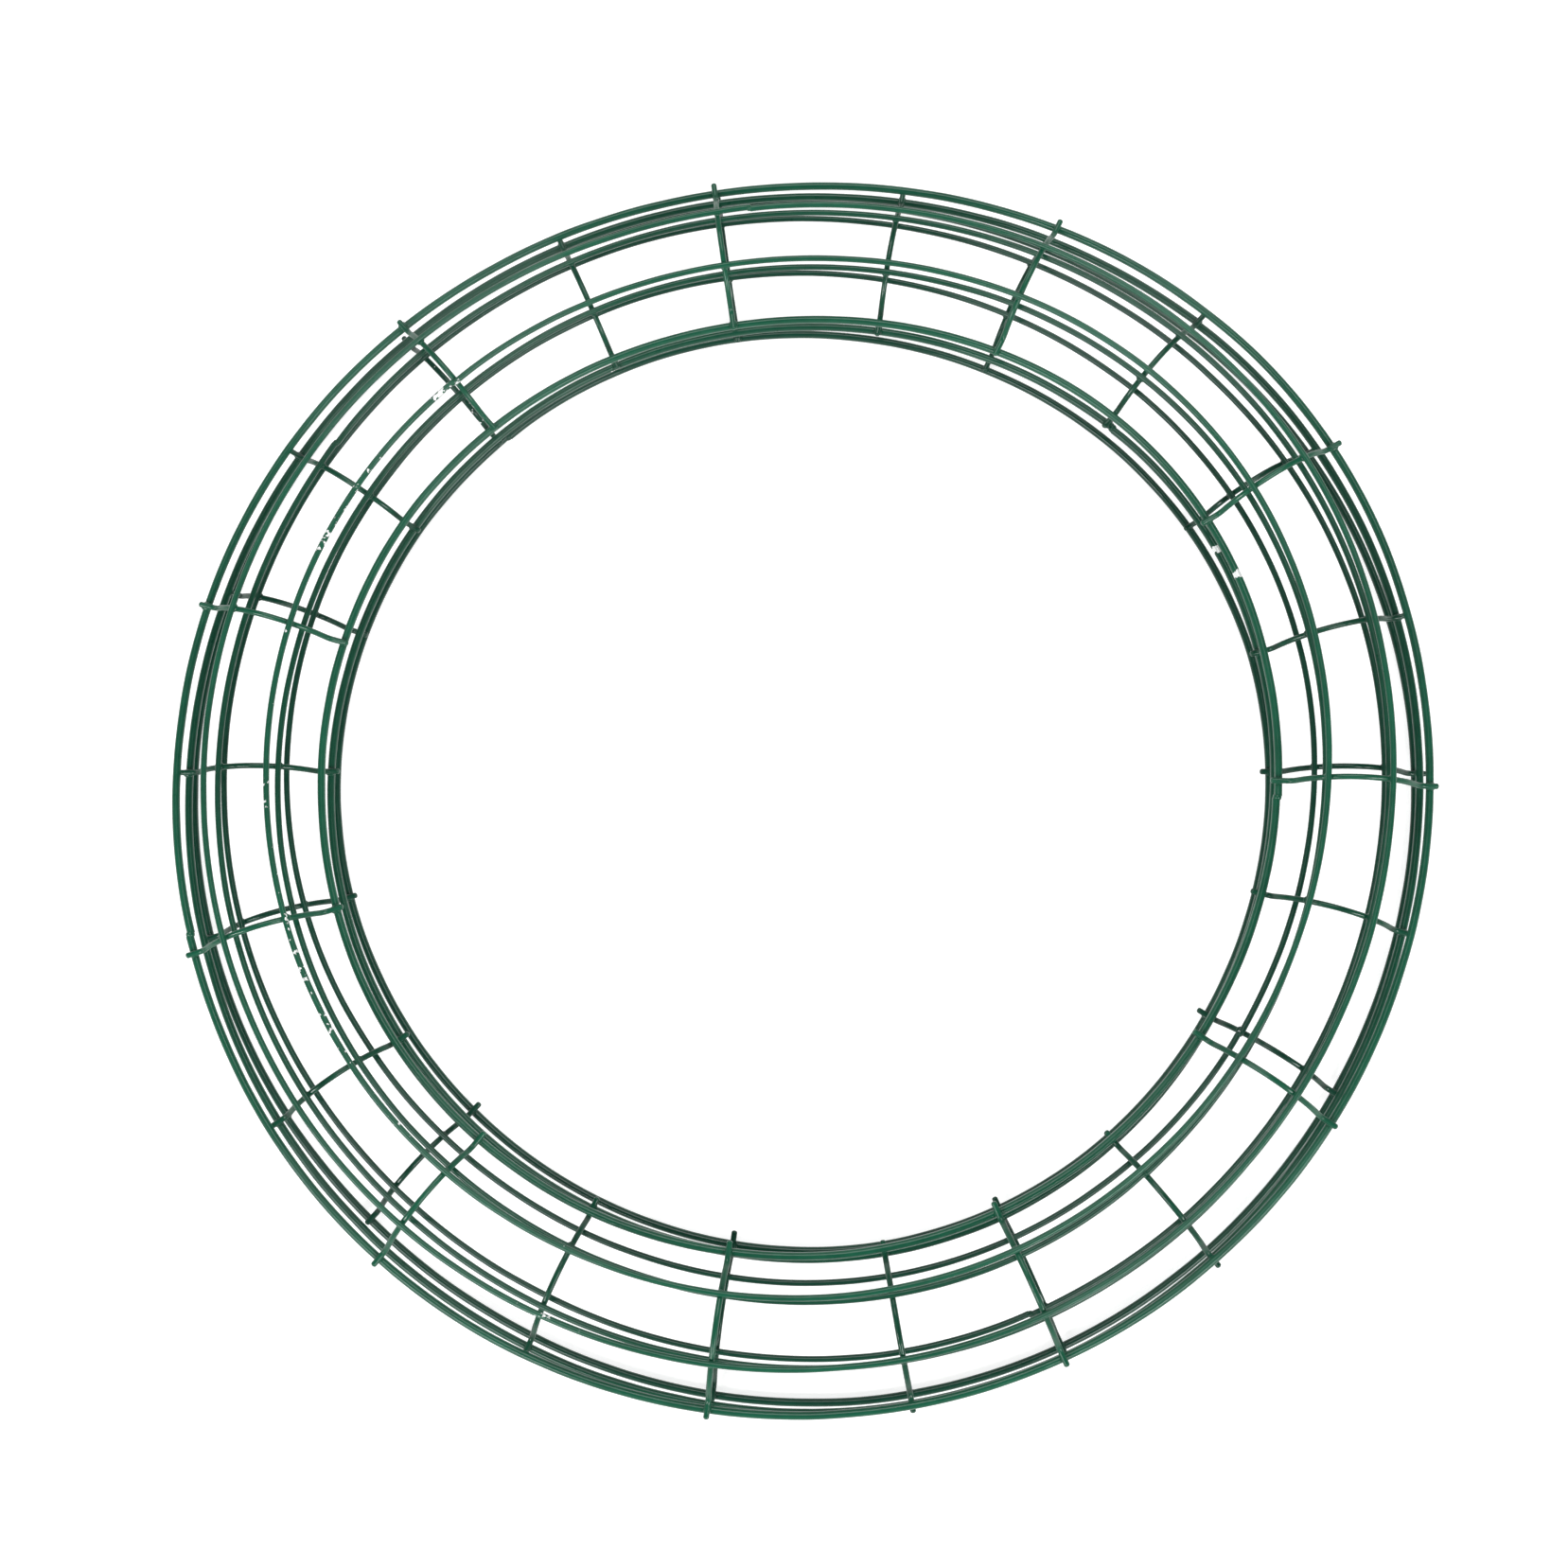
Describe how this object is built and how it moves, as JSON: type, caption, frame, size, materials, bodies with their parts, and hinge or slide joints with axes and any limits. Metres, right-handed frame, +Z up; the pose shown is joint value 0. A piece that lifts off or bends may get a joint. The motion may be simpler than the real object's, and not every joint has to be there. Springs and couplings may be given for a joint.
{
  "type": "wreath frame",
  "caption": "Nested set of round green enamelled wire wreath frames, each with concentric rings welded to arched cross bars; upper frames lift off.",
  "frame": {"origin": "centre of the bottom frame's rings, on the plane that its outermost and innermost rings stand on", "axes": "+Z up through the nest, along the way the upper frames lift off; +Y to the back; +X to the right, along the first cross bar of the bottom frame"},
  "size_m": [0.3057, 0.306, 0.026],
  "materials": {
    "green_enamel_low": "gloss",
    "green_enamel_mid": "gloss",
    "green_enamel_top": "gloss"
  },
  "bodies": {
    "bottom_frame": {"bottom_outer_ring": "green_enamel_low", "bottom_raised_outer_ring": "green_enamel_low", "bottom_raised_inner_ring": "green_enamel_low", "bottom_inner_ring": "green_enamel_low", "bottom_bar_01": "green_enamel_low", "bottom_bar_02": "green_enamel_low", "bottom_bar_03": "green_enamel_low", "bottom_bar_04": "green_enamel_low", "bottom_bar_05": "green_enamel_low", "bottom_bar_06": "green_enamel_low", "bottom_bar_07": "green_enamel_low", "bottom_bar_08": "green_enamel_low", "bottom_bar_09": "green_enamel_low", "bottom_bar_10": "green_enamel_low", "bottom_bar_11": "green_enamel_low"},
    "middle_frame": {"middle_outer_ring": "green_enamel_mid", "middle_raised_outer_ring": "green_enamel_mid", "middle_raised_inner_ring": "green_enamel_mid", "middle_inner_ring": "green_enamel_mid", "middle_bar_01": "green_enamel_mid", "middle_bar_02": "green_enamel_mid", "middle_bar_03": "green_enamel_mid", "middle_bar_04": "green_enamel_mid", "middle_bar_05": "green_enamel_mid", "middle_bar_06": "green_enamel_mid", "middle_bar_07": "green_enamel_mid", "middle_bar_08": "green_enamel_mid", "middle_bar_09": "green_enamel_mid", "middle_bar_10": "green_enamel_mid", "middle_bar_11": "green_enamel_mid"},
    "top_frame": {"top_outer_ring": "green_enamel_top", "top_raised_outer_ring": "green_enamel_top", "top_raised_inner_ring": "green_enamel_top", "top_inner_ring": "green_enamel_top", "top_bar_01": "green_enamel_top", "top_bar_02": "green_enamel_top", "top_bar_03": "green_enamel_top", "top_bar_04": "green_enamel_top", "top_bar_05": "green_enamel_top", "top_bar_06": "green_enamel_top", "top_bar_07": "green_enamel_top", "top_bar_08": "green_enamel_top", "top_bar_09": "green_enamel_top", "top_bar_10": "green_enamel_top", "top_bar_11": "green_enamel_top"}
  },
  "joints": [
    {"name": "lift_middle_frame", "type": "slide", "parent": "bottom_frame", "child": "middle_frame", "axis": [0, 0, 1], "range_m": [0, 0.06]},
    {"name": "lift_top_frame", "type": "slide", "parent": "middle_frame", "child": "top_frame", "axis": [0, 0, 1], "range_m": [0, 0.06]}
  ]
}
